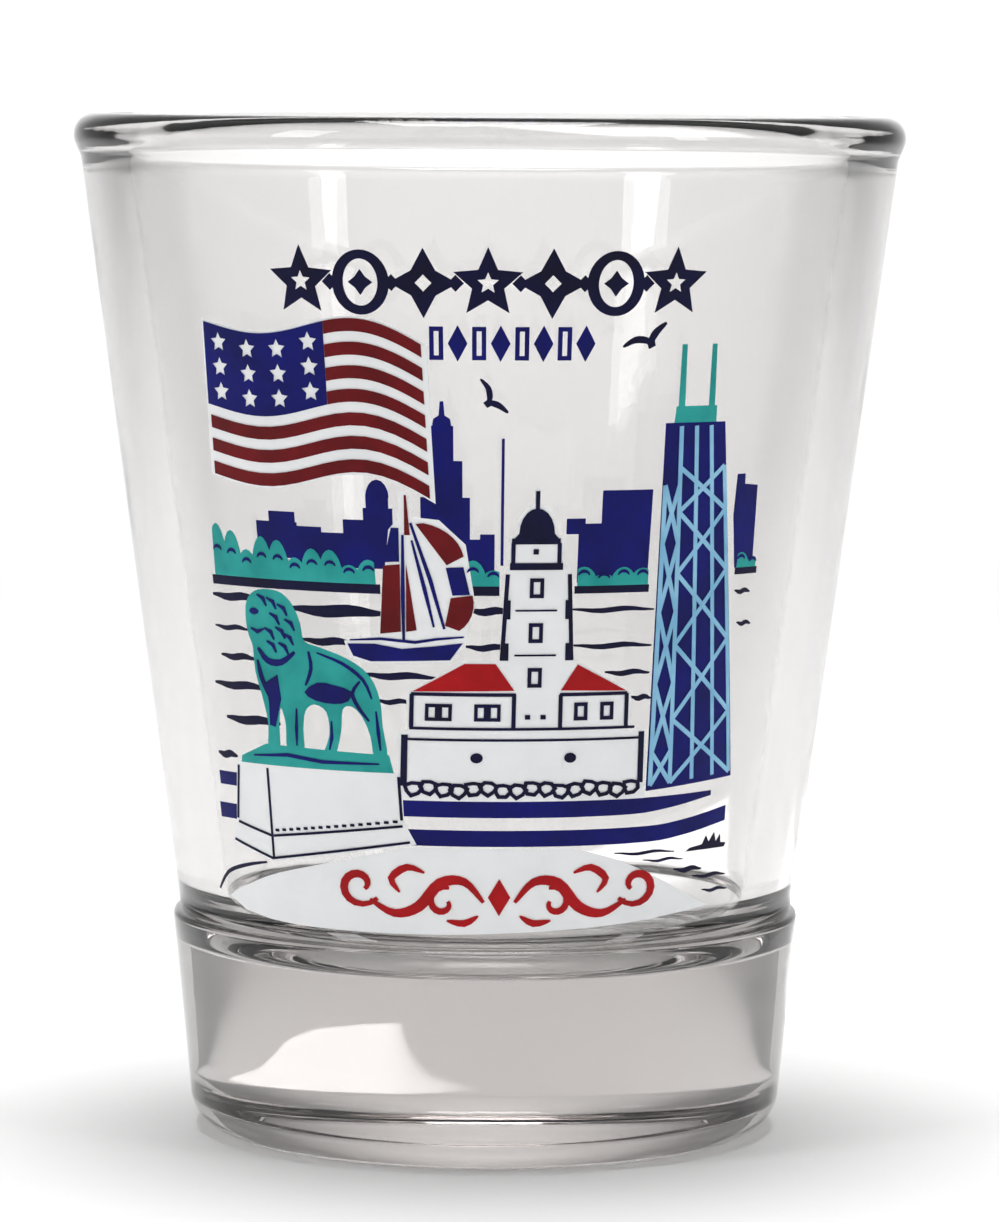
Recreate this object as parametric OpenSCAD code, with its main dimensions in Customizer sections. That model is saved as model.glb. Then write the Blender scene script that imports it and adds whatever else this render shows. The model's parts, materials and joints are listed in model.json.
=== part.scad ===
// Souvenir shot glass: one piece of pressed glass and the fired screen-print inks on its wall.
// Millimetres, +Z up, origin at the centre of the foot. The picture faces -Y.

/* [Glass] */
// Overall height
glass_h = 61.3; // [50:0.1:76]
// Widest diameter, over the rim bead
rim_d = 50; // [44:0.5:64]
// Thickness of the wall, measured level
wall_t = 2.95; // [2:0.05:4.5]
// How far the rim bead stands out of the wall
bead_out = 0.45; // [0.2:0.05:0.8]
// Height of the rim bead
bead_h = 2.6; // [2:0.1:4]
// Radius of the bead's outer edge
bead_round = 1.3; // [0.8:0.05:1.6]

/* [Base] */
// Diameter of the wall at the shoulder, where it meets the solid base
shoulder_d = 37; // [33:0.2:43]
// How far the base stands out of the wall at the shoulder
ledge = 0.45; // [0.2:0.05:0.8]
// Height of the shoulder
base_h = 13.4; // [11:0.1:18]
// Diameter of the foot, above its rounded edge
foot_d = 35.8; // [32:0.2:41]
// Radius of the foot's rounded edge
foot_edge = 2.4; // [0.5:0.1:3]
// Width of the flat ring that the glass stands on
ring_w = 1.3; // [0.6:0.1:4]
// Depth of the recess at its centre
recess_depth = 1; // [0.3:0.1:2]
// Glass below the middle of the bowl
floor_h = 10.6; // [7:0.1:13]
// How much the bowl's floor dips towards its middle
floor_dish = 0.5; // [0.1:0.1:1.5]
// Radius between the bowl's floor and its wall
floor_round = 4.8; // [1.5:0.1:6]

/* [Print] */
// Thickness of one pass of ink
film_t = 0.04; // [0.03:0.01:0.08]
// Size of the picture, as a share of the largest that the wall takes
print_share = 1; // [0.8:0.01:1]
// Width of the flag
flag_w = 14.2; // [11:0.1:14.6]
// Height of the flag at its pole edge
flag_h = 8.8; // [7:0.1:9]
// Height of the star band above the picture
title_h = 3.7; // [2.5:0.1:4]
// Height of the small lozenge row
subtitle_h = 2; // [1.2:0.1:2.2]
// Stroke of the navy line drawing
line_w = 0.24; // [0.18:0.01:0.3]
// Stroke of the pale bracing on the tall tower
brace_w = 0.26; // [0.16:0.01:0.32]

/* [Hidden] */

NAVY = [0.05, 0.06, 0.45];
INK_BLACK_NAVY = [0.03, 0.03, 0.2];
MAROON = [0.45, 0.05, 0.08];
RED = [0.68, 0.05, 0.08];
TEAL = [0.16, 0.63, 0.6];
PALE_BLUE = [0.55, 0.75, 0.9];
INK_WHITE = [0.95, 0.96, 0.97];

rim_r = rim_d / 2;
shoulder_r = shoulder_d / 2;
foot_r = foot_d / 2;
ring_r = foot_r - foot_edge;
recess_r = ring_r - ring_w;
wall_top_z = glass_h - bead_h;
wall_slope = (rim_r - bead_out - shoulder_r) / (wall_top_z - base_h);

// Outside radius of the wall at a height
function wall_r(z) = shoulder_r + wall_slope * (z - base_h);

// The artwork sheet: the cone it was drawn for, and the heights on it of the shoulder and the wall's top
art_shoulder_r = 18.5;
art_slope = 0.1335;
art_shoulder = 13.4;
art_wall_top = 58.7;
art_mid_r = art_shoulder_r + art_slope * (art_wall_top - art_shoulder) / 2;
art_low = 13.9;
art_high = 56;
room_up = (wall_top_z - base_h) / (art_wall_top - art_shoulder);
room_round = wall_r((wall_top_z + base_h) / 2) / art_mid_r;
art_k = print_share * min(room_up, room_round);

// Where a height on the sheet lands on the glass, and how far round an angle on the sheet lands
function lift(y) = base_h + art_k * (y - art_shoulder);
function art_r(y) = art_shoulder_r + art_slope * (y - art_shoulder);
function turn(a, y) = a * art_k * art_r(y) / wall_r(lift(y));

// Prisms that cut the prints start inside the wall and end outside it
cut_near = 0.4 * foot_r;
cut_far = 1.4 * rim_r;

/* Outline helpers */

function unit(v) = v / norm(v);
function last(p) = len(p) - 1;
function lerp(a, b, u) = a + (b - a) * u;

function arc(c, rx, ry, a0, a1, steps) =
    [for (i = [0:steps]) let (a = lerp(a0, a1, i / steps)) c + [rx * cos(a), ry * sin(a)]];

// A closed smooth outline through hand-placed points, with cuts between each pair
function blend(a, b, c, d, u) =
    0.5 * (2 * b + (c - a) * u + (2 * a - 5 * b + 4 * c - d) * u * u + (3 * b - a - 3 * c + d) * u * u * u);
function smooth_loop(p, cuts) =
    let (n = len(p))
    [for (i = [0:n - 1]) for (j = [0:cuts - 1])
        blend(p[(i + n - 1) % n], p[i], p[(i + 1) % n], p[(i + 2) % n], j / cuts)];
function smooth_path(p, cuts) =
    concat(
        [for (i = [0:last(p) - 1]) for (j = [0:cuts - 1])
            blend(p[max(i - 1, 0)], p[i], p[i + 1], p[min(i + 2, last(p))], j / cuts)],
        [p[last(p)]]
    );

// A brush stroke along a path: full width w in the middle, thinning to tip * w at its ends
function side(p, i) = let (d = unit(p[min(i + 1, last(p))] - p[max(i - 1, 0)])) [-d[1], d[0]];
function swell(i, n, tip) = tip + (1 - tip) * sin(180 * i / n);
function stroke(p, w, tip = 1) =
    concat(
        [for (i = [0:last(p)]) p[i] + side(p, i) * w / 2 * swell(i, last(p), tip)],
        [for (i = [last(p):-1:0]) p[i] - side(p, i) * w / 2 * swell(i, last(p), tip)]
    );

function star(r, points, inner) =
    [for (i = [0:2 * points - 1]) let (q = i % 2 == 0 ? r : r * inner, a = 90 + 180 * i / points)
        q * [cos(a), sin(a)]];

/* Ways to put ink on the glass */

// The skin of ink that one pass would leave all round the wall; pass 1 lies on pass 0
module ink_skin(pass) {
    low = lift(art_low);
    high = lift(art_high);
    inside = pass * film_t;
    outside = inside + film_t;
    rotate_extrude($fn = 180)
        polygon([
            [wall_r(low) + inside, low],
            [wall_r(low) + outside, low],
            [wall_r(high) + outside, high],
            [wall_r(high) + inside, high],
        ]);
}

module printed(pass) {
    intersection() {
        ink_skin(pass);
        union()
            children();
    }
}

// A flat drawing, with heights from the sheet, carried square on to the wall at an angle on the sheet
module on_wall(angle, middle) {
    rotate([0, 0, turn(angle, middle)])
        translate([0, -cut_near, lift(0)])
            rotate([90, 0, 0])
                linear_extrude(cut_far - cut_near)
                    scale([art_k, art_k, art_k])
                        children();
}

// A level patch between two angles and two heights on the sheet
module patch(from, to, low, high) {
    middle = (low + high) / 2;
    a = turn(from, middle);
    b = turn(to, middle);
    translate([0, 0, lift(low)])
        linear_extrude(art_k * (high - low))
            polygon([
                cut_near * [sin(a), -cos(a)],
                cut_far * [sin(a), -cos(a)],
                cut_far * [sin(b), -cos(b)],
                cut_near * [sin(b), -cos(b)],
            ]);
}

// A level brush stroke between two angles on the sheet
module level_stroke(from, to, height, w, tip = 0.3) {
    reach = art_r(height) * sin((to - from) / 2);
    on_wall((from + to) / 2, height)
        polygon(stroke([for (i = [-4:4]) [reach * i / 4, height + 0.06 * sin(70 * i)]], w, tip));
}

module box_at(x, y, w, h) {
    translate([x - w / 2, y - h / 2])
        square([w, h]);
}

module frame_at(x, y, w, h, line) {
    difference() {
        box_at(x, y, w, h);
        box_at(x, y, w - 2 * line, h - 2 * line);
    }
}

// Everything that stands in front of the city and the water, cut out of the ink behind it
module behind_foreground() {
    difference() {
        union()
            children();
        flag_outline();
        sailboat_outline();
        lighthouse_outline();
        tower_outline();
        lion_outline();
        plinth_outline();
    }
}

/* The glass */

// Bowl floor and wall, from the middle of the floor up to the rim
wall_lean = atan(wall_slope);
bowl_corner_z = floor_h + floor_dish + floor_round;
bowl_corner_r = wall_r(bowl_corner_z) - wall_t - floor_round / cos(wall_lean);
dish_r = (bowl_corner_r * bowl_corner_r + floor_dish * floor_dish) / (2 * floor_dish);
dish_steps = 8;
lip_drop = 0.75 * bead_h;
lip_r = rim_r - bead_round;
lip_in = lip_r - (wall_r(glass_h - lip_drop) - wall_t);

module glass_body() {
    recess = [for (i = [0:dish_steps]) let (u = i / dish_steps) [recess_r * u, recess_depth * (1 - pow(u, 4))]];
    foot = arc([ring_r, foot_edge], foot_edge, foot_edge, -90, 0, 6);
    shoulder = arc([shoulder_r, base_h - ledge], ledge, ledge, 0, 90, 5);
    wall_top = [[wall_r(wall_top_z), wall_top_z]];
    bead = arc([lip_r, glass_h - bead_round], bead_round, bead_round, -25, 90, 8);
    lip = arc([lip_r, glass_h - lip_drop], lip_in, lip_drop, 100, 180, 7);
    corner = arc([bowl_corner_r, bowl_corner_z], floor_round, floor_round, -wall_lean, -90, 8);
    dish = [for (i = [dish_steps - 1:-1:0]) let (x = bowl_corner_r * i / dish_steps)
        [x, floor_h + dish_r - sqrt(dish_r * dish_r - x * x)]];
    color([0.86, 0.9, 0.9, 0.45])
        rotate_extrude($fn = 180)
            polygon(concat(recess, foot, shoulder, wall_top, bead, lip, corner, dish));
}

/* Star band and lozenge row over the picture */

title_y = 52;
title_step = 8.9;

module open_star() {
    difference() {
        polygon(title_h * 0.56 * star(1, 5, 0.46));
        polygon(title_h * 0.17 * star(1, 5, 0.46));
    }
}

module ring_and_stud() {
    difference() {
        polygon(arc([0, 0], title_h * 0.46, title_h * 0.5, 0, 350, 35));
        polygon(arc([0, 0], title_h * 0.28, title_h * 0.36, 0, 350, 35));
    }
    polygon(title_h * 0.2 * star(1, 4, 0.6));
}

module quill_cross() {
    difference() {
        polygon(title_h * 0.54 * star(1, 4, 0.5));
        polygon(title_h * 0.13 * star(1, 4, 0.7));
    }
}

module title_star_band() {
    color(INK_BLACK_NAVY)
        printed(0) {
            for (i = [-3:3])
                on_wall(title_step * i, title_y)
                    translate([0, title_y])
                        if (abs(i) == 3 || i == 0) open_star();
                        else if (abs(i) == 2) ring_and_stud();
                        else quill_cross();
            for (i = [-2.5:1:2.5])
                on_wall(title_step * i, title_y)
                    translate([0, title_y])
                        polygon(title_h * 0.13 * star(1, 4, 0.7));
        }
}

subtitle_y = 48.6;
subtitle_mid = 3.3;
subtitle_step = 3;

module subtitle_lozenge_row() {
    color(NAVY)
        printed(0)
            for (i = [0:7])
                on_wall(subtitle_mid + subtitle_step * (i - 3.5), subtitle_y)
                    translate([0, subtitle_y])
                        if (i % 2 == 0) frame_at(0, 0, 0.4 * subtitle_h, 0.95 * subtitle_h, 0.13 * subtitle_h);
                        else polygon([[-0.28, 0], [0, -0.52], [0.28, 0], [0, 0.52]] * subtitle_h);
}

/* Waving flag of stars and stripes */

flag_angle = -26.8;
flag_top = 49.5;
flag_steps = 20;
canton_share = 0.59;
stripe_count = 7;
stripe_pitch = flag_h / (stripe_count - 0.45);
stripe_w = 0.55 * stripe_pitch;
canton_h = 3.55 * stripe_pitch;

// How high the cloth stands at a share u of its width
function wave(u) = 0.95 * sin(360 * (1.02 * u - 0.5)) * (0.45 + 0.55 * u) - 0.95 * u * u * u;
function cloth(u, drop) = [flag_w * (u - 0.5), flag_top + wave(u) - drop];
function cloth_run(u0, u1, drop, steps) = [for (i = [0:steps]) cloth(lerp(u0, u1, i / steps), drop)];
function cloth_piece(u0, u1, top, bottom, steps) =
    concat(cloth_run(u0, u1, top, steps), cloth_run(u1, u0, bottom, steps));

module flag_outline() {
    hem = 0.12;
    on_wall(flag_angle, flag_top)
        polygon(cloth_piece(-0.01, 1.01, -hem, flag_h + hem, flag_steps));
}

module flag_white_ground() {
    color(INK_WHITE)
        printed(0)
            flag_outline();
}

module flag_canton() {
    star_r = 0.6;
    color(NAVY)
        printed(1)
            on_wall(flag_angle, flag_top)
                difference() {
                    polygon(cloth_piece(0, canton_share, 0, canton_h, 12));
                    for (row = [0:2])
                        for (col = [0:3])
                            translate(cloth(canton_share * (0.13 + 0.25 * col), canton_h * (0.2 + 0.3 * row)))
                                polygon(star_r * star(1, 5, 0.5));
                }
}

module flag_stripes() {
    color(MAROON)
        printed(1)
            on_wall(flag_angle, flag_top)
                for (i = [0:stripe_count - 1]) {
                    drop = stripe_pitch * i;
                    start = drop < canton_h ? canton_share + 0.002 : 0.01;
                    polygon(cloth_piece(start, 0.99, drop, drop + stripe_w, flag_steps - 4));
                }
}

/* Gulls */

module gull() {
    polygon(stroke(smooth_path([[-1.3, -0.5], [-0.6, -0.12], [0.1, -0.15], [0.4, -0.4]], 3), 0.42, 0.3));
    polygon(stroke(smooth_path([[1.3, 0.85], [0.75, 0.4], [0.45, -0.05], [0.3, -0.5]], 3), 0.44, 0.35));
    polygon([[0.05, -0.1], [0.55, 0.1], [0.7, -0.45], [0.3, -0.65]]);
}

module gulls() {
    color(INK_BLACK_NAVY)
        printed(0) {
            on_wall(22.5, 48.9)
                translate([0, 48.9])
                    gull();
            on_wall(0.6, 45.6)
                translate([0, 45.6])
                    rotate([0, 0, -78])
                        scale([0.85, 0.85, 0.85])
                            gull();
        }
}

/* City, trees and shore behind the water */

shore_y = 34.7;

// Each tower block: from, to, foot and top on the sheet
BLOCKS = [
    [-37.5, -30, 36, 38.1], [-35, -30.3, 37, 38.7], [-30.5, -25.8, 35.6, 37.9], [-26, -21.9, 35.6, 37.6],
    [-22.1, -18.6, 35.6, 38.4], [-18.8, -14.2, 35.6, 39.1], [-18.3, -14.8, 38, 39.9],
    [-9.9, -2.5, 35.8, 39.8], [-8.9, -3.6, 39, 41.9], [-8.1, -4.9, 41, 43.9], [-2.7, 1.2, 35.4, 37.4],
    [-1, 1.2, 36, 37.7], [12, 14.9, 37.7, 38.6], [12, 25.4, 37.7, 38.3], [13.9, 25.4, 34.9, 38.3],
    [17.4, 25.4, 37, 40.2],
];

module city_blocks() {
    for (b = BLOCKS)
        patch(b[0], b[1], b[2], b[3]);
    on_wall(-16.5, 40)
        polygon(arc([0, 39.7], 0.7, 1.05, 0, 180, 8));
    on_wall(-6.5, 44)
        polygon([[-0.65, 43.5], [0.6, 43.5], [0.45, 44.3], [0.14, 44.5], [0.08, 45.3], [-0.12, 45.3],
            [-0.2, 44.5], [-0.5, 44.3]]);
    patch(2.1, 2.55, 35.9, 43.2);
    on_wall(43, 38)
        polygon([[-0.45, shore_y + 0.7], [1, shore_y + 0.7], [0.75, 40.2], [-0.3, 40.3], [-0.35, 40.9],
            [-0.95, 40.9], [-0.95, 38.5]]);
}

// Each clump of trees along the shore: from, to, number of crowns, foot, and height at its two ends
CLUMPS = [
    [-47.5, -17.2, 10, shore_y, 3.3, 1.7], [-3, 2, 2, shore_y, 1.5, 1.3], [14, 25.6, 4, shore_y, 1.3, 1.1],
    [42.2, 46.4, 2, shore_y + 0.7, 0.9, 0.7],
];
crown_sink = 0.2;

function clump_reach(c) = art_r(c[3]) * sin((c[1] - c[0]) / 2);
function crown_w(c) = 2 * clump_reach(c) / (c[2] - 0.4);
function crown_h(c, i) = lerp(c[4], c[5], i / (c[2] - 1)) * (0.78 + 0.22 * sin(117 * i + 40 * c[2]));
function crown_x(c, i) = crown_w(c) * (i + 0.3) - clump_reach(c);

module treeline_shapes() {
    for (c = CLUMPS)
        on_wall((c[0] + c[1]) / 2, c[3])
            intersection() {
                translate([-clump_reach(c), c[3]])
                    square([2 * clump_reach(c), 2 * (c[4] + c[5])]);
                union()
                    for (i = [0:c[2] - 1])
                        translate([crown_x(c, i), c[3] - crown_sink])
                            polygon(arc([0, 0], 0.72 * crown_w(c), crown_h(c, i) + crown_sink, 0, 345, 23));
            }
}

module treeline() {
    color(TEAL)
        printed(0)
            behind_foreground()
                treeline_shapes();
}

// One lobe of leaves drawn inside each crown
module treeline_shading() {
    lobe_w = 0.2;
    color(NAVY)
        printed(1)
            for (c = CLUMPS)
                on_wall((c[0] + c[1]) / 2, c[3])
                    for (i = [0:c[2] - 1]) {
                        centre = [crown_x(c, i), c[3] + 0.45 * crown_h(c, i)];
                        lobe_r = 0.3 * crown_w(c);
                        polygon(stroke(arc(centre, lobe_r, lobe_r, 20, 160, 6), lobe_w, 0.3));
                    }
}

module skyline() {
    color(NAVY)
        printed(0)
            behind_foreground()
                difference() {
                    city_blocks();
                    treeline_shapes();
                }
}

module shoreline() {
    thick = 0.55;
    color(INK_BLACK_NAVY)
        printed(0)
            behind_foreground() {
                patch(-48.2, -16.5, shore_y - thick, shore_y);
                patch(-3, 2, shore_y - thick, shore_y);
                patch(13.6, 25.8, shore_y - 0.8 * thick, shore_y);
                patch(42, 46.8, shore_y + 0.3, shore_y + 0.7);
            }
}

/* Water */

// Each ripple: from, to, height and stroke on the sheet
RIPPLES = [
    [-48.6, -38, 33.5, 0.5], [-48.8, -41, 31.65, 0.32], [-48, -40, 29.95, 0.42], [-50.4, -38, 28.25, 0.5],
    [-48.3, -36, 26.25, 0.56], [-51.6, -46.6, 24.05, 0.46], [-32, -16, 33.05, 0.75], [-30.3, -21, 31.25, 0.48],
    [-20, -8, 29.4, 0.44], [-18, -11.6, 27.9, 0.32], [-2.8, 4, 33.25, 0.48], [-3.2, 4, 31.15, 0.4],
    [13, 27, 33.3, 0.32], [13.6, 27, 31.2, 0.34], [19.2, 27, 29.6, 0.34], [24, 27.6, 28.1, 0.34],
    [42.4, 45.8, 34, 0.3], [43.6, 46.8, 32.1, 0.28], [22.8, 34.8, 18.9, 0.2], [28.4, 36.8, 18.4, 0.18],
    [39.4, 47.6, 17.2, 0.24], [42, 48.4, 16.3, 0.22], [35, 41.3, 17.7, 0.32],
];

module water_lines() {
    color(INK_BLACK_NAVY)
        printed(0)
            behind_foreground() {
                for (r = RIPPLES)
                    level_stroke(r[0], r[1], r[2], r[3]);
                on_wall(-49, 16.7)
                    polygon(stroke(smooth_path([[-2.3, 15.8], [-1.2, 16.9], [0.6, 17.5], [2.4, 17.85]], 3),
                        0.24, 0.5));
            }
}

// A broad band of water that starts level and lifts towards its right end
module rising_band(from, to, low, high, lift_low, lift_high) {
    reach = art_r(low) * sin((to - from) / 2);
    bottom = smooth_path([[-reach, low], [0.3 * reach, low], [0.65 * reach, lerp(low, lift_low, 0.25)],
        [reach, lift_low]], 4);
    top = smooth_path([[reach, lift_high], [0.65 * reach, lerp(high, lift_high, 0.25)], [0.3 * reach, high],
        [-reach, high]], 4);
    on_wall((from + to) / 2, low)
        polygon(concat(bottom, top));
}

module water_bands() {
    color(NAVY)
        printed(0)
            behind_foreground() {
                rising_band(-16, 42, 21.2, 22.15, 22, 22.3);
                rising_band(-14, 46.2, 19.5, 20.45, 20.4, 21.3);
                patch(-52, -44, 22.2, 23);
                patch(-52.8, -44, 20.2, 21.1);
            }
}

/* Sailboat */

boat_angle = -9.5;

module sailboat_outline() {
    on_wall(boat_angle, 35)
        polygon([
            [-1.4, 40.1], [-0.95, 40.1], [-0.7, 38.65], [0.9, 38.5], [2.4, 37.1], [2.9, 33.6], [2.35, 31.9],
            [2.4, 31.6], [1.5, 30.3], [-3.3, 30.1], [-4.5, 30.4], [-4.85, 31.35], [-2.75, 31.75], [-2.05, 37.9],
            [-1.5, 38.5],
        ]);
}

module sailboat_white_ground() {
    color(INK_WHITE)
        printed(0)
            sailboat_outline();
}

module sailboat_sails() {
    color(MAROON)
        printed(1)
            on_wall(boat_angle, 35) {
                polygon([[-2.4, 35.8], [-1.42, 35.9], [-1.42, 32], [-2.65, 31.85]]);
                polygon([[-1.1, 39.9], [-0.98, 39.9], [-0.8, 37.6], [-1.12, 37.6]]);
                polygon([[-1.05, 35.9], [-0.5, 32.1], [-1.12, 32]]);
                polygon(concat(arc([-0.6, 36.1], 2.9, 2.25, 78, 8, 7), [[1.3, 35.9], [-0.45, 38.25]]));
                polygon(concat(arc([1.2, 33.7], 1.6, 1.8, 15, -62, 6), [[1.15, 32.4], [1.5, 34]]));
            }
}

module sailboat_hull_and_mast() {
    color(NAVY)
        printed(1)
            on_wall(boat_angle, 35) {
                polygon(stroke([[-1.22, 37.6], [-1.27, 34], [-1.27, 31.4]], line_w, 0.6));
                polygon([[-2.38, 36], [-1.45, 36.05], [-1.45, 38], [-1.9, 38]]);
                polygon(stroke([[-0.75, 38.3], [0.35, 35], [1.1, 32.2]], line_w, 0.6));
                polygon([[1.25, 35.75], [2.25, 35.8], [2.6, 34.2], [1.6, 34.15]]);
                polygon(stroke([[-0.7, 37.3], [0, 34.5], [0.5, 32.3]], line_w, 0.5));
                polygon([[-4.65, 31.2], [-4.3, 30.5], [-3.25, 30.22], [1.4, 30.4], [2.15, 31.4], [0.6, 31.2],
                    [-1.4, 31], [-3, 31.25]]);
                polygon(stroke([[-4.5, 31.42], [-2.6, 31.55], [-0.6, 31.4], [0.6, 31.6], [2.2, 31.75]],
                    0.18, 0.5));
            }
}

/* Harbour light with its two keeper's houses and sea wall */

light_angle = 8;

// Half width of the tower at a height on the sheet
function tower_half(y) = lerp(2.15, 1.9, (y - 30) / 5.5);

module lighthouse_outline() {
    on_wall(light_angle, 29)
        polygon([
            [-7.6, 22.15], [6.6, 22.15], [6.6, 26.15], [5.6, 26.2], [5.65, 28.35], [2.5, 30.3],
            [tower_half(30), 30.4], [tower_half(35.5), 35.6], [1.45, 35.9], [1.35, 37.5], [1.05, 37.6],
            [0.95, 38.6], [0.45, 39.25], [0, 39.45], [0, 40.3], [-0.35, 40.3], [-0.35, 39.45],
            [-0.8, 39.25], [-1.3, 38.6], [-1.4, 37.6], [-1.75, 37.5], [-1.7, 35.9],
            [-tower_half(35.5), 35.6], [-tower_half(30), 30.35], [-4.15, 30.35], [-7.3, 28.4],
            [-7.2, 26.2], [-7.75, 26.15],
        ]);
}

module lighthouse_white_ground() {
    color(INK_WHITE)
        printed(0)
            difference() {
                lighthouse_outline();
                lion_outline();
                plinth_outline();
            }
}

module lighthouse_roofs() {
    color(RED)
        printed(1)
            on_wall(light_angle, 29) {
                polygon([[-6.95, 28.55], [-4.1, 30.2], [-2.35, 30.2], [-1.25, 28.65]]);
                polygon([[1.45, 28.65], [2.4, 30.15], [5.35, 28.55]]);
            }
}

module double_window(x) {
    frame_at(x, 27.35, 1.5, 1, 0.2);
    box_at(x, 27.35, 0.4, 0.95);
}

module lighthouse_linework() {
    eave = 28.4;
    sill = 26.45;
    color(INK_BLACK_NAVY)
        printed(1)
            on_wall(light_angle, 29) {
                // lantern, its dome and its finial
                polygon(concat(arc([-0.17, 37.75], 1.02, 1.45, 0, 180, 10), [[-1.5, 37.4], [1.15, 37.4]]));
                box_at(-0.17, 39.6, 0.24, 1.2);
                box_at(-0.2, 37.3, 2.8, 0.34);
                // watch room and gallery below it
                box_at(-0.2, 36.7, 0.3, 0.3);
                box_at(-1.5, 36.6, line_w, 1.2);
                box_at(1.15, 36.6, line_w, 1.2);
                box_at(-0.15, 35.85, 3.05, 0.4);
                // edges of the tower, with the dark ends of its stone courses
                for (way = [-1, 1]) {
                    polygon(stroke([[way * (tower_half(35.4) - 0.12), 35.4],
                        [way * (tower_half(30.4) - 0.12), 30.4]], line_w));
                    box_at(way * 1.78, 33.35, 0.4, 1.1);
                    box_at(way * 1.84, 30.9, 0.4, 1);
                }
                for (y = [34.6, 32, 29.4])
                    frame_at(-0.1, y, 0.82, 1.15, 0.22);
                for (y = [33.3, 30.7])
                    box_at(-0.1, y, 2.4, 0.1);
                // keeper's houses
                for (x = [-7, -1.25, 1.45, 5.38])
                    box_at(x, (eave + sill) / 2, line_w, eave - sill);
                box_at(-4.1, eave, 5.9, 0.2);
                box_at(3.4, eave, 4, 0.2);
                double_window(-5.5);
                double_window(-2.75);
                for (x = [2.65, 4.2])
                    frame_at(x, 27.4, 0.8, 1.05, 0.22);
                for (x = [-0.45, 0.45])
                    box_at(x, 27.1, 0.3, 0.26);
                // sea wall: coping, ends and mooring rings
                box_at(-0.6, sill - 0.05, 13, 0.16);
                box_at(-0.6, 25.75, 13.8, 0.14);
                box_at(-7.35, 24.5, 0.36, 3);
                box_at(6.35, 24.6, 0.34, 3);
                for (x = [-3.3, 2.1])
                    polygon(arc([x, 24.7], 0.36, 0.3, 0, 330, 11));
            }
}

// The broken outline of one rock
function rock(i, w, h) =
    [for (j = [0:6]) let (a = 360 * j / 7 + 23 * i, q = 1 + 0.14 * sin(157 * j + 71 * i))
        q * [w * cos(a), h * sin(a)]];

module breakwater_rocks() {
    count = 16;
    color(INK_BLACK_NAVY)
        printed(1)
            on_wall(light_angle, 22.6)
                for (i = [0:count - 1])
                    translate([lerp(-6.8, 5.8, i / (count - 1)), 22.85 + 0.1 * sin(97 * i)])
                        difference() {
                            polygon(rock(i, 0.6, 0.5));
                            polygon(rock(i, 0.34, 0.26));
                        }
}

/* Tall braced tower */

brace_angle = 34.5;
tower_foot = 22.55;
tower_top = 44;

// A point on the tower's front: u across it, y up it
function front(u, y) =
    let (t = (y - tower_foot) / (tower_top - tower_foot))
    [lerp(lerp(-2.25, -3.05, t), lerp(4, 1, t), u), y + 0.5 * u * (1 - t)];

module tower_outline() {
    on_wall(brace_angle, 33)
        polygon([front(0, tower_foot), front(1, tower_foot), front(1, tower_top), front(0, tower_top)]);
}

module braced_tower() {
    color(NAVY)
        printed(0)
            tower_outline();
}

module brace(a, b) {
    polygon(stroke([a, b], brace_w));
}

module tower_bracing() {
    corner = 0.25;
    low = tower_foot + 0.3;
    high = tower_top - 0.2;
    edge = 0.035;
    LEVELS = [low, 26.6, 31, 35.2, 38.8, 41.4];
    SIDE_LEVELS = [low, 24.8, 28.8, 33, 37, 40.4];
    color(PALE_BLUE)
        printed(1)
            on_wall(brace_angle, 33) {
                for (u = [corner, 0.5, 0.75])
                    brace(front(u, low), front(u, high));
                brace(front(edge, low), front(edge, 40.4));
                brace(front(1 - edge, low), front(1 - edge, 41.4));
                for (i = [0:len(LEVELS) - 2]) {
                    brace(front(corner, LEVELS[i]), front(1 - edge, LEVELS[i + 1]));
                    brace(front(1 - edge, LEVELS[i]), front(corner, LEVELS[i + 1]));
                    brace(front(edge, SIDE_LEVELS[i]), front(corner, SIDE_LEVELS[i + 1]));
                    brace(front(corner, SIDE_LEVELS[i]), front(edge, SIDE_LEVELS[i + 1]));
                }
            }
}

module tower_crown_and_masts() {
    color(TEAL)
        printed(0)
            on_wall(brace_angle, 46) {
                polygon([[-2.5, tower_top], [0.35, tower_top], [0.3, 44.95], [-2.45, 44.95]]);
                polygon([[-2.32, 44.8], [-1.9, 44.8], [-2.1, 48.5], [-2.42, 48.5]]);
                polygon([[-0.27, 44.8], [0.15, 44.8], [-0.06, 48.5], [-0.38, 48.5]]);
            }
}

/* Bronze lion on its plinth */

lion_angle = -32;
plinth_top = 23.7;
fine_w = 0.15;

module lion_outline() {
    on_wall(lion_angle, 29) {
        polygon(smooth_loop([
            [-3.45, 32.2], [-3.3, 33.3], [-2.6, 33.95], [-1.6, 34.1], [-0.6, 33.9], [0.1, 33.2], [0.5, 32.2],
            [0.7, 31.2], [1.8, 30.85], [3.4, 30.3], [4.65, 29.4], [5.2, 28], [5.25, 26.4], [5.4, 24.6],
            [4.65, 24.6], [4.5, 25.8], [4.1, 26.9], [3.5, 27.5], [2.9, 27.3], [2.7, 26], [2.2, 24.6],
            [1.5, 24.6], [1.95, 25.8], [1.85, 27.1], [1.1, 27.5], [0.45, 27.1], [0.2, 26], [0.1, 24.7],
            [-1, 24.7], [-1, 26.2], [-1.3, 27.2], [-1.5, 26], [-1.6, 24.7], [-2.4, 24.7], [-2.3, 26.2],
            [-2.6, 27.7], [-3, 29.2], [-3.05, 30.6], [-3.3, 31.3],
        ], 3));
        polygon([[-4.7, plinth_top], [-4.6, 24.1], [-2.6, 24.95], [0.3, 24.9], [5.5, 24.75],
            [5.7, plinth_top]]);
    }
}

module lion_statue() {
    color(TEAL)
        printed(0)
            lion_outline();
}

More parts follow.
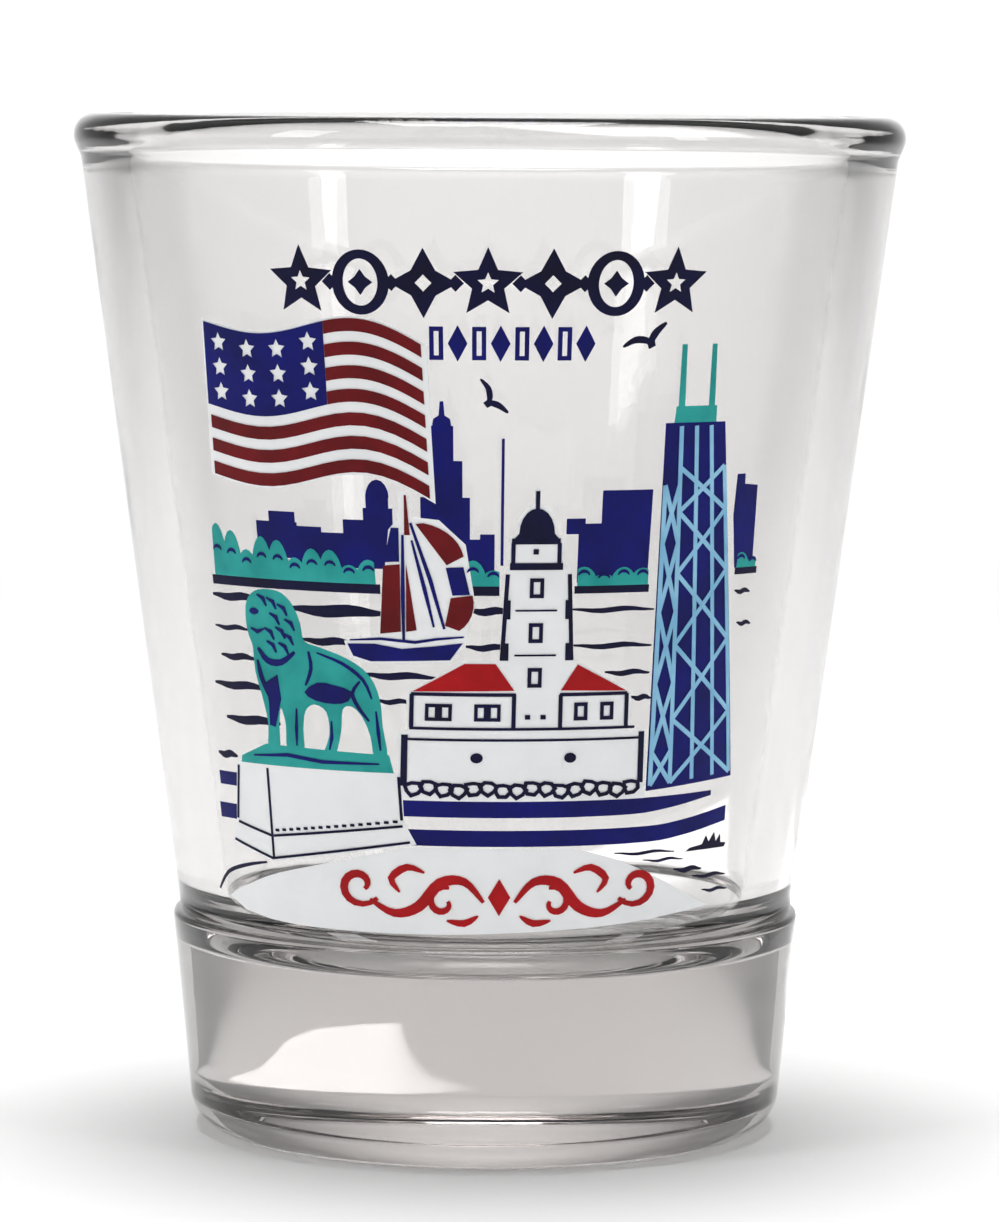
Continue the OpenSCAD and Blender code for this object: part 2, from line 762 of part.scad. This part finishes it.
module lion_shading() {
    color(NAVY)
        printed(1)
            on_wall(lion_angle, 29) {
                // far foreleg, and the shade under the belly
                polygon([[-2.25, 28.6], [-1.35, 29.1], [-1.2, 27.7], [-1.75, 26], [-2.15, 26.1], [-2.1, 27.4]]);
                polygon(smooth_loop([[0.5, 28.2], [1.4, 28.8], [2.5, 28.7], [3.5, 28.4], [3.3, 27.8],
                    [2.4, 27.6], [1.2, 27.75]], 2));
                // eye, cheek and locks of the mane
                polygon(arc([-2.75, 32.75], 0.34, 0.2, 0, 330, 11));
                polygon(stroke([[-3.1, 31.75], [-2.6, 31.55], [-2.1, 31.75]], 0.26, 0.4));
                for (lock = [[-1.4, 33.3], [-0.65, 32.95], [-0.2, 32.1], [-0.35, 31.25], [-1.25, 32.4],
                        [-0.9, 31.6], [-1.7, 31.5], [-2.1, 33.45], [-1.6, 30.75], [-0.75, 30.7]])
                    polygon(stroke([lock + [-0.35, 0.3], lock + [0.1, 0.1], lock + [0.3, -0.35]], 0.26, 0.4));
                polygon(stroke(smooth_path([[-2.65, 30.6], [-2, 29.9], [-1, 29.85], [0, 30.5]], 3), 0.4, 0.4));
                polygon(stroke(smooth_path([[-2.75, 29.9], [-2.55, 28.9], [-2.1, 27.8]], 3), 0.3, 0.4));
                // shoulder, back, haunch, legs and paws
                polygon(stroke(smooth_path([[0.95, 30.6], [1.05, 29.6], [0.6, 28.6]], 3), 0.22, 0.5));
                polygon(stroke(smooth_path([[1.5, 30.55], [3.1, 30], [4.3, 29.1], [4.75, 28]], 3), 0.2, 0.4));
                polygon(stroke(smooth_path([[4.1, 29], [3.6, 28.3], [3.9, 27.5], [4.5, 26.7]], 3), 0.22, 0.5));
                polygon(stroke([[4.95, 27.3], [5, 26], [5.05, 25]], 0.2, 0.4));
                polygon(stroke([[-0.15, 27.2], [-0.25, 26], [-0.3, 25]], 0.2, 0.4));
                polygon(stroke([[2.15, 26.6], [2.1, 25.6], [1.9, 24.9]], 0.2, 0.4));
                polygon(stroke([[-3.6, 24.2], [-1, 24.4], [1.4, 24.15], [4.9, 24.2]], 0.24, 0.4));
            }
}

module plinth_outline() {
    on_wall(lion_angle, 21)
        polygon([[-5.1, plinth_top], [6.15, plinth_top], [6.1, 20.85], [6.7, 19.55], [-2.65, 17.95], [-6, 18.9],
            [-5.5, 20.15]]);
}

module plinth_white_ground() {
    color(INK_WHITE)
        printed(0)
            plinth_outline();
}

module plinth_linework() {
    color(INK_BLACK_NAVY)
        printed(1)
            on_wall(lion_angle, 21) {
                // near corner, moulding with its row of studs, and the foot of the stone
                polygon(stroke([[-2.62, 23.5], [-2.62, 18.2]], fine_w));
                polygon(stroke([[-5.3, 20.1], [-2.7, 19.5]], fine_w));
                polygon(stroke([[-2.5, 19.5], [6, 20.6]], fine_w));
                for (i = [0:15])
                    box_at(lerp(-2.2, 5.6, i / 15), lerp(19.85, 20.85, i / 15), 0.26, 0.16);
                polygon(stroke([[-5.75, 19], [-2.7, 18.14], [6.35, 19.66]], fine_w));
                polygon(stroke([[5.98, 23.5], [5.98, 20.95]], fine_w));
                polygon(stroke([[-4.95, 23.5], [-5.35, 20.3]], fine_w));
            }
}

/* Pale shore with the ribbon flourish */

module shore_white_ground() {
    color(INK_WHITE)
        printed(0)
            difference() {
                on_wall(0, 17)
                    polygon(concat(
                        smooth_path([[-15, 15.5], [-13.6, 16.5], [-12, 17.3], [-9, 18.2], [-4.6, 19.35]], 3),
                        smooth_path([[4.9, 19.4], [7.8, 18.5], [10.4, 17.1], [13, 15.4]], 3),
                        smooth_path([[9.5, 14.9], [6, 14.6], [-2.3, 14.25], [-10.9, 14.3], [-14, 14.8]], 3)
                    ));
                plinth_outline();
            }
}

// A curl: the path winds from its outer radius to its eye
function curl(c, r, a0, a1, steps) =
    [for (i = [0:steps]) let (u = i / steps, a = lerp(a0, a1, u)) c + r * (1 - 0.72 * u) * [cos(a), sin(a)]];

module flourish_half() {
    polygon(stroke(smooth_path([[0.9, 16.2], [2, 17.4], [3.4, 17.3], [4.6, 15.9], [6, 15.45], [7.4, 16.2]], 4),
        0.66, 0.3));
    polygon(stroke(curl([8, 17], 1.25, -145, 215, 16), 0.48, 0.5));
    polygon(stroke(curl([3.2, 16.15], 0.95, 110, -200, 14), 0.4, 0.5));
    polygon(stroke(smooth_path([[4.3, 17.9], [5.3, 18.2], [6.2, 17.5], [5.7, 16.7]], 3), 0.46, 0.25));
    polygon(stroke(smooth_path([[1.2, 15.4], [2, 14.95], [3, 15.1]], 3), 0.42, 0.25));
}

module ribbon_flourish() {
    color(RED)
        printed(1)
            on_wall(2.5, 16.5) {
                polygon([[0, 17.6], [0.65, 16.5], [0, 15.4], [-0.65, 16.5]]);
                flourish_half();
                mirror([1, 0, 0])
                    flourish_half();
            }
}

module distant_boats() {
    color(INK_BLACK_NAVY)
        printed(0)
            on_wall(42, 19)
                polygon([[-1.6, 18.75], [1.5, 18.8], [1.6, 19.05], [1.15, 19.1], [1.05, 19.6], [0.75, 19.15],
                    [0.55, 19.75], [0.15, 19.2], [-0.1, 19.6], [-0.35, 19.1], [-1.3, 18.95]]);
}

glass_body();
title_star_band();
subtitle_lozenge_row();
flag_white_ground();
flag_canton();
flag_stripes();
gulls();
skyline();
treeline();
treeline_shading();
shoreline();
water_lines();
water_bands();
sailboat_white_ground();
sailboat_sails();
sailboat_hull_and_mast();
lighthouse_white_ground();
lighthouse_roofs();
lighthouse_linework();
breakwater_rocks();
braced_tower();
tower_bracing();
tower_crown_and_masts();
lion_statue();
lion_shading();
plinth_white_ground();
plinth_linework();
shore_white_ground();
ribbon_flourish();
distant_boats();
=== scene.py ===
import json
import math
import bmesh
import bpy
from mathutils import Matrix, Vector


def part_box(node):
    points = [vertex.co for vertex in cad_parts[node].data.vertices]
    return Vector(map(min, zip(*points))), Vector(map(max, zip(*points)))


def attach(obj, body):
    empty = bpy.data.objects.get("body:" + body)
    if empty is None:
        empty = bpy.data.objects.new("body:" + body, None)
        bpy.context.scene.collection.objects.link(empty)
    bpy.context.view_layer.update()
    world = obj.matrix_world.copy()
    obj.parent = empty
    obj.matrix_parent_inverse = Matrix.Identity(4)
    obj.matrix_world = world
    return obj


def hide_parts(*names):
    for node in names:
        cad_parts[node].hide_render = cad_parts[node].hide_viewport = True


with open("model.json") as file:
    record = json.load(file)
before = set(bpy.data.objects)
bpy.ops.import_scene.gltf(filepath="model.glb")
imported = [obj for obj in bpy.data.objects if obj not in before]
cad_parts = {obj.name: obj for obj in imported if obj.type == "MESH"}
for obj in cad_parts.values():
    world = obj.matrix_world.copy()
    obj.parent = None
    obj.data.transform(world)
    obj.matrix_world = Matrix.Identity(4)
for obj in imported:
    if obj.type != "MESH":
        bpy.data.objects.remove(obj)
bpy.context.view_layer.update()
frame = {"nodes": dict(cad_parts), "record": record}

# The camera: a long lens a third of a metre from the glass, just above the rim and tipped slightly
# down, so that the front of the rim and the back of it nearly meet.
camera_place = (0.00078, -0.351, 0.064)
camera_lens = 171.4
sensor_width = 36
tip_down = 5.32
lean_over = 0.35

scene = bpy.context.scene
scene.view_settings.view_transform = "Standard"

camera_data = bpy.data.cameras.new("bench_camera")
camera_data.sensor_width = sensor_width
camera_data.lens = camera_lens
camera = bpy.data.objects.new("bench_camera", camera_data)
camera.location = camera_place
tipped = Matrix.Rotation(math.radians(90 - tip_down), 3, "X")
camera.rotation_euler = (tipped @ Matrix.Rotation(math.radians(lean_over), 3, "Z")).to_euler()
scene.collection.objects.link(camera)
scene.camera = camera

# The bench: one long sheet of matt white paper that lies flat under the glass and sweeps up in a
# quarter round behind it, so that no edge shows. Its surface is close, faintly mottled fibre.
sweep_reach = 1.2
sweep_flat_end = 0.45
sweep_radius = 0.35
sweep_height = 1.4
sweep_steps = 16
fibre_scale = 900.0
fibre_detail = 4.0
paper_dull = (0.93, 0.93, 0.93, 1)
paper_bright = (0.96, 0.96, 0.96, 1)
paper_roughness = 0.8
paper_gloss = 0.2


def new_object(name, mesh):
    piece = bpy.data.objects.new(name, mesh)
    scene.collection.objects.link(piece)
    return piece


def node_material(name):
    """A new material, with its node tree and its Principled shader."""
    material = bpy.data.materials.new(name)
    material.use_nodes = True
    tree = material.node_tree
    shader = tree.nodes["Principled BSDF"]
    return material, tree, shader


def add_node(tree, kind, inputs=None, **settings):
    """Adds a node; each input is either another node's output, to link, or a plain value."""
    node = tree.nodes.new(kind)
    for key, value in settings.items():
        setattr(node, key, value)
    for key, value in (inputs or {}).items():
        if hasattr(value, "is_output"):
            tree.links.new(value, node.inputs[key])
        else:
            node.inputs[key].default_value = value
    return node


sweep_line = [(-sweep_reach, 0.0), (sweep_flat_end, 0.0)]
for i in range(1, sweep_steps + 1):
    a = math.pi / 2 * i / sweep_steps
    rise = sweep_radius * (1 - math.cos(a))
    sweep_line.append((sweep_flat_end + sweep_radius * math.sin(a), rise))
sweep_line.append((sweep_flat_end + sweep_radius, sweep_height))
n = len(sweep_line)

sweep_mesh = bpy.data.meshes.new("paper_sweep")
points = [(x, y, z) for x in (-sweep_reach, sweep_reach) for y, z in sweep_line]
sweep_mesh.from_pydata(points, [], [(i, i + n, i + n + 1, i + 1) for i in range(n - 1)])
sweep_mesh.polygons.foreach_set("use_smooth", [True] * (n - 1))
sweep = new_object("paper_sweep", sweep_mesh)

paper, tree, shader = node_material("pale_paper")
fibre = add_node(tree, "ShaderNodeTexNoise", {"Scale": fibre_scale, "Detail": fibre_detail})
tone = add_node(tree, "ShaderNodeValToRGB", {"Fac": fibre.outputs["Fac"]})
tone.color_ramp.elements[0].color = paper_dull
tone.color_ramp.elements[1].color = paper_bright
tree.links.new(tone.outputs["Color"], shader.inputs["Base Color"])
shader.inputs["Roughness"].default_value = paper_roughness
shader.inputs["Specular IOR Level"].default_value = paper_gloss
sweep_mesh.materials.append(paper)

# The lights: a tall soft window in front on each side, a broad panel overhead, and a panel that
# washes the paper behind the glass until it is white. A narrow beam lays a small bright patch on
# the paper behind the foot, which shows through the thick base.
window_aim = (0, 0, 0.03)
overhead_spread = 80
wash_spread = 60
beam_spread = 1
beam_turn = -12


def soft_light(name, place, aim, size, power):
    light = bpy.data.lights.new(name, "AREA")
    light.shape = "RECTANGLE"
    light.size, light.size_y = size
    light.energy = power
    lamp = bpy.data.objects.new(name, light)
    lamp.location = place
    lamp.rotation_euler = (Vector(aim) - Vector(place)).to_track_quat("-Z", "Y").to_euler()
    scene.collection.objects.link(lamp)
    return lamp


soft_light("window_left", place=(-0.7, -0.5, 0.45), aim=window_aim, size=(0.22, 0.5), power=1.5)
soft_light("window_right", place=(0.75, -0.5, 0.4), aim=window_aim, size=(0.16, 0.5), power=1.0)
overhead = soft_light(
    "overhead", place=(0.0, 0.05, 1.0), aim=(0, 0.05, 0), size=(0.5, 0.6), power=1.9
)
overhead.data.spread = math.radians(overhead_spread)
wash = soft_light(
    "background_wash", place=(0, 0.25, 0.9), aim=(0, 0.78, 0.2), size=(0.2, 0.3), power=0.85
)
wash.data.spread = math.radians(wash_spread)
beam = soft_light(
    "sun_patch", place=(0.0285, 0.085, 0.5), aim=(0.0285, 0.085, 0), size=(0.032, 0.085), power=0.17
)
beam.rotation_euler.z = math.radians(beam_turn)
beam.data.spread = math.radians(beam_spread)

# The room round the bench: white walls behind it that grow dimmer towards the front, which gives
# the edges of clear glass their grey lines.
room_dim = (0.25, 0.25, 0.25, 1)
room_bright = (1.0, 1.0, 1.0, 1)
dim_until = 0.42
bright_from = 0.74
room_strength = 0.8

world = bpy.data.worlds.new("pale_room")
scene.world = world
world.use_nodes = True
room = world.node_tree
walls = room.nodes["Background"]
bearing = add_node(room, "ShaderNodeTexCoord")
split = add_node(room, "ShaderNodeSeparateXYZ", {"Vector": bearing.outputs["Generated"]})
front_to_back = add_node(
    room, "ShaderNodeMapRange", {"Value": split.outputs["Y"], "From Min": -1.0, "From Max": 1.0}
)
shade = add_node(room, "ShaderNodeValToRGB", {"Fac": front_to_back.outputs["Result"]})
shade.color_ramp.elements[0].color = room_dim
shade.color_ramp.elements[0].position = dim_until
shade.color_ramp.elements[1].color = room_bright
shade.color_ramp.elements[1].position = bright_from
room.links.new(shade.outputs["Color"], walls.inputs["Color"])
walls.inputs["Strength"].default_value = room_strength

# The glass: one gather of clear soda-lime glass pressed in a mould, with a solid base, a bowl that
# flares to the rim, and a fire-polished bead round its lip. It rests on the flat ring round a
# shallow recess.
foot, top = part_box("glass_body")
height = top.z - foot.z
rim_radius = (top.x - foot.x) / 2

shoulder_radius = 0.0185
shoulder_height = 0.0134
ledge = 0.00045
foot_radius = 0.0179
foot_edge = 0.0024
ring_width = 0.0013
recess_depth = 0.001
recess_flatness = 4
floor_height = 0.0106
floor_dish = 0.0005
floor_round = 0.0048
wall_thickness = 0.00295
bead_out = 0.00045
bead_height = 0.0026
bead_round = 0.0013
bead_start = -25
lip_share = 0.75
lip_start = 95
polish = 0.000006

turns = 360
recess_steps = 20
foot_edge_steps = 16
base_steps = 14
ledge_steps = 8
wall_steps = 40
bead_steps = 18
floor_round_steps = 24
floor_steps = 16

glass_tint = (0.9, 0.895, 0.89, 1)
glass_index = 1.52
ripple_scale = 160.0
ripple_detail = 2.0
ripple_strength = 0.02
ripple_height = 0.001
smear_scale = 60.0
smear_detail = 5.0
smear_roughness = 0.03
depth_tint = (0.64, 0.61, 0.6, 1)
depth_density = 48.0

wall_top = height - bead_height
slope = (rim_radius - bead_out - shoulder_radius) / (wall_top - shoulder_height)
ring_radius = foot_radius - foot_edge
recess_radius = ring_radius - ring_width


def wall_radius(z):
    return shoulder_radius + slope * (z - shoulder_height)


def arc(centre, rx, ry, start, end, steps):
    """Points on part of an ellipse, from one angle to another, in degrees."""
    angles = [math.radians(start + (end - start) * i / steps) for i in range(steps + 1)]
    return [(centre[0] + rx * math.cos(a), centre[1] + ry * math.sin(a)) for a in angles]


def run(a, b, steps):
    """Evenly spaced points on a straight line, both ends included."""
    return [
        (a[0] + (b[0] - a[0]) * i / steps, a[1] + (b[1] - a[1]) * i / steps)
        for i in range(steps + 1)
    ]


lean = math.atan(slope)
corner_z = floor_height + floor_dish + floor_round
corner_r = wall_radius(corner_z) - wall_thickness - floor_round / math.cos(lean)
dish_radius = (corner_r ** 2 + floor_dish ** 2) / (2 * floor_dish)
lip_drop = lip_share * bead_height
lip_r = rim_radius - bead_round
lip_in = lip_r - (wall_radius(height - lip_drop) - wall_thickness)

foot_end = (foot_radius, foot_edge)
ledge_end = (shoulder_radius + ledge, shoulder_height - ledge)
shoulder_end = (shoulder_radius, shoulder_height)
wall_end = (wall_radius(wall_top), wall_top)
bowl_wall_end = (
    corner_r + floor_round * math.cos(lean),
    corner_z - floor_round * math.sin(lean),
)

# The outline runs from the middle of the recess, round the foot, up the outside, over the bead and
# down inside the bowl to the middle of its floor.
profile = [
    (recess_radius * i / recess_steps, recess_depth * (1 - (i / recess_steps) ** recess_flatness))
    for i in range(recess_steps + 1)
]
profile += arc((ring_radius, foot_edge), foot_edge, foot_edge, -90, 0, foot_edge_steps)
profile += run(foot_end, ledge_end, base_steps)[1:-1]
profile += arc((shoulder_radius, shoulder_height - ledge), ledge, ledge, 0, 90, ledge_steps)
profile += run(shoulder_end, wall_end, wall_steps)[1:]
profile += arc((lip_r, height - bead_round), bead_round, bead_round, bead_start, 90, bead_steps)
profile += arc((lip_r, height - lip_drop), lip_in, lip_drop, lip_start, 180, bead_steps)
profile += run(profile[-1], bowl_wall_end, wall_steps)[1:-1]
profile += arc(
    (corner_r, corner_z), floor_round, floor_round, -math.degrees(lean), -90, floor_round_steps
)
for i in range(floor_steps - 1, -1, -1):
    x = corner_r * i / floor_steps
    profile.append((x, floor_height + dish_radius - math.sqrt(dish_radius ** 2 - x ** 2)))


def lathe(name, outline, segments):
    """Turns an outline that starts and ends on the axis into a closed mesh."""
    on_axis = 1e-7
    shape = bmesh.new()
    rings = []
    for r, z in outline:
        if r < on_axis:
            rings.append([shape.verts.new((0, 0, z))])
        else:
            ring = []
            for k in range(segments):
                a = 2 * math.pi * k / segments
                ring.append(shape.verts.new((r * math.cos(a), r * math.sin(a), z)))
            rings.append(ring)
    for low, high in zip(rings, rings[1:]):
        for k in range(segments):
            following = (k + 1) % segments
            if len(low) == 1:
                shape.faces.new((low[0], high[following], high[k]))
            elif len(high) == 1:
                shape.faces.new((low[k], low[following], high[0]))
            else:
                shape.faces.new((low[k], low[following], high[following], high[k]))
    bmesh.ops.recalc_face_normals(shape, faces=shape.faces)
    mesh = bpy.data.meshes.new(name)
    shape.to_mesh(mesh)
    shape.free()
    mesh.polygons.foreach_set("use_smooth", [True] * len(mesh.polygons))
    return mesh


# The outside of the wall stands a few thousandths of a millimetre proud, so the fired inks sit in
# it and not on a surface shared with it.
widest = profile.index(max(profile))
skin = [
    (r + polish if shoulder_height < z and i < widest else r, z)
    for i, (r, z) in enumerate(profile)
]
glass = new_object("pressed_glass", lathe("pressed_glass", skin, turns))

clear, tree, shader = node_material("clear_pressed_glass")
shader.inputs["Base Color"].default_value = glass_tint
shader.inputs["Transmission Weight"].default_value = 1.0
shader.inputs["IOR"].default_value = glass_index
place = add_node(tree, "ShaderNodeTexCoord")
ripple = add_node(tree, "ShaderNodeTexNoise", {
    "Vector": place.outputs["Object"], "Scale": ripple_scale, "Detail": ripple_detail,
})
wave = add_node(tree, "ShaderNodeBump", {
    "Height": ripple.outputs["Fac"], "Strength": ripple_strength, "Distance": ripple_height,
})
tree.links.new(wave.outputs["Normal"], shader.inputs["Normal"])
smear = add_node(tree, "ShaderNodeTexNoise", {
    "Vector": place.outputs["Object"], "Scale": smear_scale, "Detail": smear_detail,
})
haze = add_node(tree, "ShaderNodeMapRange", {
    "Value": smear.outputs["Fac"], "To Min": 0.0, "To Max": smear_roughness,
})
tree.links.new(haze.outputs["Result"], shader.inputs["Roughness"])
depth = add_node(tree, "ShaderNodeVolumeAbsorption", {
    "Color": depth_tint, "Density": depth_density,
})
tree.links.new(depth.outputs["Volume"], tree.nodes["Material Output"].inputs["Volume"])
glass.data.materials.append(clear)
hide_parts("glass_body")
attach(glass, "root")

# The inks: glass enamels squeezed through a fine mesh, one colour after another, and fired on. Each
# is a film a few hundredths of a millimetre thick, dense but not quite even, with the screen's
# weave in its skin. A pair of colours gives the ink where it lies thin and where it lies thick.
ink_colours = {
    "ink_white": ((0.9, 0.92, 0.93), (0.95, 0.96, 0.97)),
    "ink_navy": ((0.002, 0.003, 0.1), (0.003, 0.005, 0.16)),
    "ink_dark_navy": ((0.002, 0.002, 0.02), (0.003, 0.003, 0.04)),
    "ink_maroon": ((0.11, 0.003, 0.005), (0.17, 0.005, 0.008)),
    "ink_red": ((0.36, 0.003, 0.005), (0.46, 0.006, 0.009)),
    "ink_teal": ((0.015, 0.3, 0.28), (0.03, 0.4, 0.37)),
    "ink_pale_blue": ((0.22, 0.5, 0.74), (0.32, 0.62, 0.84)),
}
pooling_scale = 420.0
pooling_detail = 5.0
thin_until = 0.35
thick_from = 0.65
ink_roughness_low = 0.3
ink_roughness_high = 0.5
ink_gloss = 0.15
weave_scale = 9000.0
weave_strength = 0.15
weave_height = 0.00002


def fired_ink(name, thin, thick):
    ink, tree, shader = node_material(name)
    place = add_node(tree, "ShaderNodeTexCoord")
    pooling = add_node(tree, "ShaderNodeTexNoise", {
        "Vector": place.outputs["Object"], "Scale": pooling_scale, "Detail": pooling_detail,
    })
    density = add_node(tree, "ShaderNodeValToRGB", {"Fac": pooling.outputs["Fac"]})
    density.color_ramp.elements[0].position = thin_until
    density.color_ramp.elements[1].position = thick_from
    density.color_ramp.elements[0].color = (*thin, 1)
    density.color_ramp.elements[1].color = (*thick, 1)
    tree.links.new(density.outputs["Color"], shader.inputs["Base Color"])
    gloss = add_node(tree, "ShaderNodeMapRange", {
        "Value": pooling.outputs["Fac"], "To Min": ink_roughness_low, "To Max": ink_roughness_high,
    })
    tree.links.new(gloss.outputs["Result"], shader.inputs["Roughness"])
    shader.inputs["Specular IOR Level"].default_value = ink_gloss
    weave = add_node(tree, "ShaderNodeTexVoronoi", {
        "Vector": place.outputs["Object"], "Scale": weave_scale,
    })
    skin = add_node(tree, "ShaderNodeBump", {
        "Height": weave.outputs["Distance"], "Strength": weave_strength, "Distance": weave_height,
    })
    tree.links.new(skin.outputs["Normal"], shader.inputs["Normal"])
    return ink


nodes_by_ink = {}
for subpart in frame["record"]["subparts"]:
    nodes_by_ink.setdefault(subpart["material_slot"], []).append(subpart["node"])

for slot, (thin, thick) in ink_colours.items():
    ink = fired_ink(slot, thin, thick)
    for name in nodes_by_ink[slot]:
        film = frame["nodes"][name]
        film.data.materials.clear()
        film.data.materials.append(ink)
